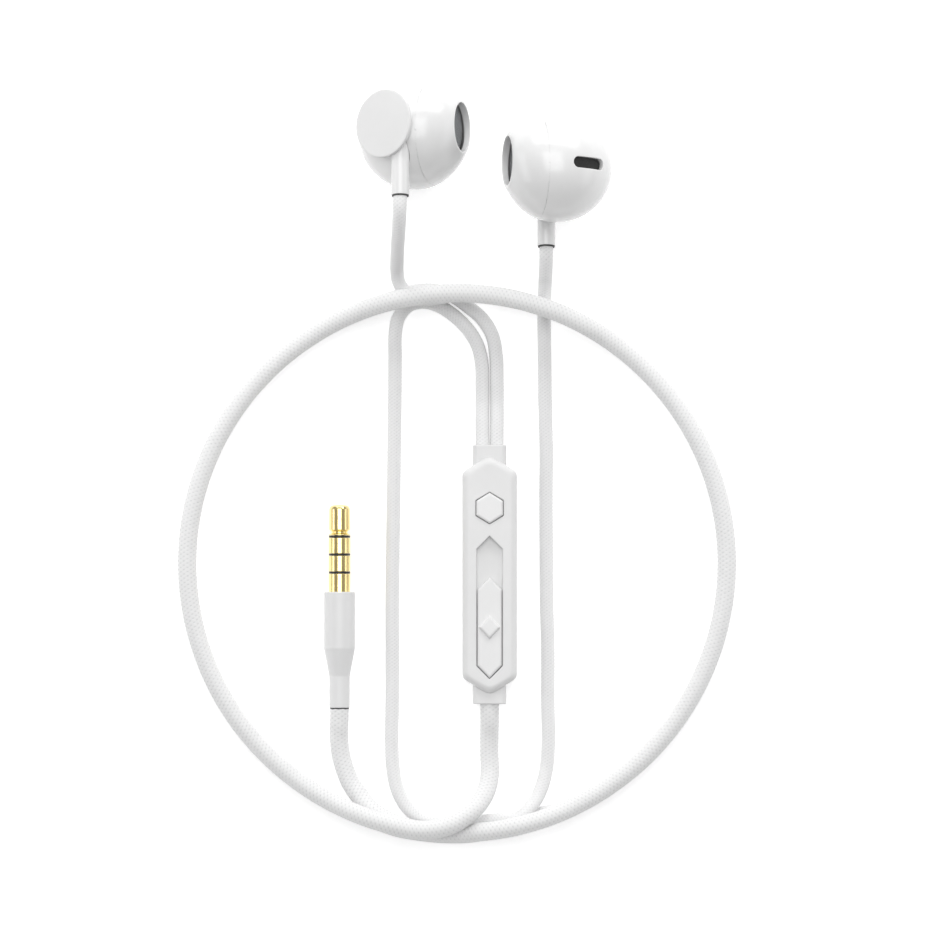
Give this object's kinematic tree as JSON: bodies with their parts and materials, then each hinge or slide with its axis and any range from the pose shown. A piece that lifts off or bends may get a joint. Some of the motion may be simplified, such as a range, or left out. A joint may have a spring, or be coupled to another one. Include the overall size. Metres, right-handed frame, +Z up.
{
  "type": "wired earphones",
  "caption": "Bulb-shaped wired earbuds with braided wires, an in-line remote with button and slider, and a gold four-pole audio plug, laid flat in one large loop.",
  "frame": {"origin": "centre of the remote's flat back face, which lies on the table", "axes": "+Y along the remote from the plug cable towards the earbuds, +Z up from the table out of the remote's buttons, +X to the right"},
  "size_m": [0.0899, 0.1226, 0.0194],
  "materials": {
    "gloss_white": "polished white moulded plastic",
    "matte_white": "fine matte white moulded plastic",
    "satin_white": "satin white moulded plastic with softly chamfered edges",
    "button_white": "satin white moulded plastic, slightly smoother from touch",
    "braid": "tight white braided textile sleeve",
    "dark_rubber": "dark soft rubber",
    "steel_mesh": "fine woven steel gauze",
    "black_gauze": "black acoustic gauze",
    "grey_foam": "open grey foam",
    "black_plastic": "black moulded plastic",
    "steel": "plated steel",
    "copper": "bright copper",
    "clear_film": "thin polymer film",
    "green_board": "green solder mask",
    "gold": "polished gold plate"
  },
  "bodies": {
    "root": {"left_front_shell": "gloss_white", "left_rear_shell": "gloss_white", "left_disc_cap": "matte_white", "left_stem": "gloss_white", "left_stem_bush": "dark_rubber", "left_wire_knot": "braid", "left_nozzle_mesh": "steel_mesh", "left_nozzle_damper": "grey_foam", "left_driver_frame": "black_plastic", "left_driver_yoke": "steel", "left_driver_magnet": "steel", "left_driver_top_plate": "steel", "left_vent_mesh": "black_gauze", "right_front_shell": "gloss_white", "right_rear_shell": "gloss_white", "right_disc_cap": "matte_white", "right_stem": "gloss_white", "right_stem_bush": "dark_rubber", "right_wire_knot": "braid", "right_nozzle_mesh": "steel_mesh", "right_nozzle_damper": "grey_foam", "right_driver_frame": "black_plastic", "right_driver_yoke": "steel", "right_driver_magnet": "steel", "right_driver_top_plate": "steel", "right_vent_mesh": "black_gauze", "remote_front_shell": "satin_white", "remote_back_shell": "satin_white", "remote_top_gland": "satin_white", "remote_bottom_gland": "satin_white", "circuit_board": "green_board", "microphone": "steel", "control_chip": "black_plastic", "ear_wire_anchor": "copper", "main_cable_anchor": "copper", "tact_switch": "steel", "slider_track": "black_plastic", "plug_sleeve": "gold", "plug_ring_2": "gold", "plug_ring_1": "gold", "plug_insulator_3": "black_plastic", "plug_insulator_2": "black_plastic", "plug_insulator_1": "black_plastic", "plug_tip": "gold", "plug_core": "black_plastic", "plug_housing": "satin_white", "plug_crimp": "steel", "plug_grommet": "dark_rubber", "main_cable": "braid", "right_ear_wire": "braid", "left_ear_wire": "braid"},
    "answer_button": {"answer_button": "button_white", "switch_plunger": "black_plastic"},
    "volume_slider": {"volume_slider": "button_white", "slider_wiper": "copper"},
    "left_diaphragm": {"left_diaphragm": "clear_film", "left_voice_coil": "copper"},
    "right_diaphragm": {"right_diaphragm": "clear_film", "right_voice_coil": "copper"}
  },
  "joints": [
    {"name": "answer_button_press", "type": "slide", "parent": "root", "child": "answer_button", "axis": [0, 0, -1], "range_m": [0, 0.0003], "stiffness_N_per_m": 2500, "springref_m": -0.0002},
    {"name": "volume_slide", "type": "slide", "parent": "root", "child": "volume_slider", "axis": [0, 1, 0], "range_m": [0, 0.0063]},
    {"name": "left_diaphragm_travel", "type": "slide", "parent": "root", "child": "left_diaphragm", "axis": [0.9481, 0.04, 0.3154], "range_m": [-0.00015, 0.00015], "stiffness_N_per_m": 50},
    {"name": "right_diaphragm_travel", "type": "slide", "parent": "root", "child": "right_diaphragm", "axis": [-0.9779, 0.0191, 0.208], "range_m": [-0.00015, 0.00015], "stiffness_N_per_m": 50}
  ]
}
